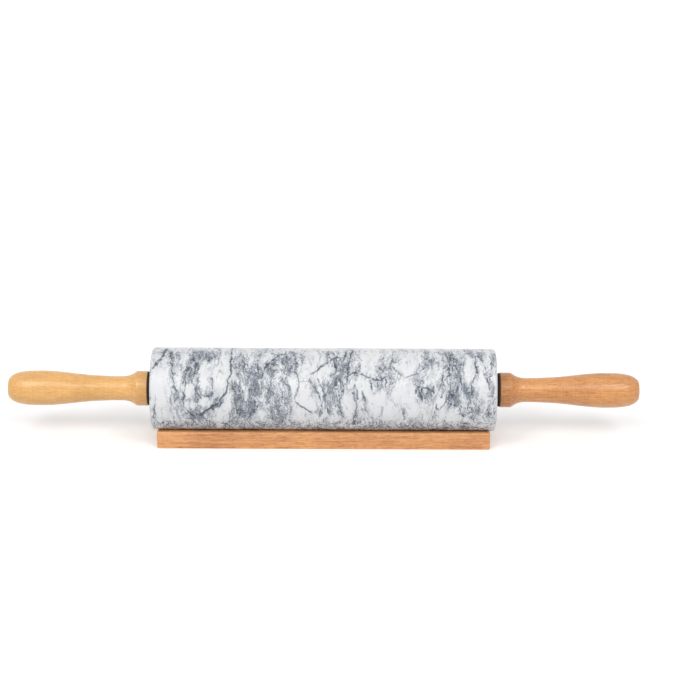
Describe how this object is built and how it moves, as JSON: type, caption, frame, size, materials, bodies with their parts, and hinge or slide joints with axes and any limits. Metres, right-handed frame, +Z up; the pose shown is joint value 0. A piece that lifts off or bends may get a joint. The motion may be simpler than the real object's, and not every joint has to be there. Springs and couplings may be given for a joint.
{
  "type": "marble rolling pin with cradle",
  "caption": "Baker's rolling pin: a polished marble barrel turning on a steel axle between turned wooden handles, lying in a grooved wooden cradle.",
  "frame": {"origin": "middle of the cradle's underside, on the surface it stands on", "axes": "+X along the pin's axle, towards its right handle; +Y away from the baker; +Z up"},
  "size_m": [0.46, 0.06, 0.069],
  "materials": {
    "marble": "polished, grey veined",
    "beech_handle": "satin lacquer",
    "beech_cradle": "satin lacquer",
    "black_nylon": "satin",
    "steel": "drawn, zinc plated",
    "brass": "turned"
  },
  "bodies": {
    "stand": {"cradle": "beech_cradle"},
    "roller": {"marble_barrel": "marble", "bearing_bush_left": "black_nylon", "bearing_bush_right": "black_nylon"},
    "grips": {"axle_rod": "steel", "thrust_washer_left": "black_nylon", "thrust_washer_right": "black_nylon", "lock_nut_left": "steel", "lock_nut_right": "steel", "threaded_insert_left": "brass", "threaded_insert_right": "brass", "handle_left": "beech_handle", "handle_right": "beech_handle"}
  },
  "joints": [
    {"name": "pin_lift", "type": "slide", "parent": "stand", "child": "roller", "axis": [0, 0, 1], "range_m": [0, 0.1]},
    {"name": "barrel_spin", "type": "hinge", "parent": "roller", "child": "grips", "pos_m": [0, 0, 0.039], "axis": [1, 0, 0], "continuous": true}
  ]
}
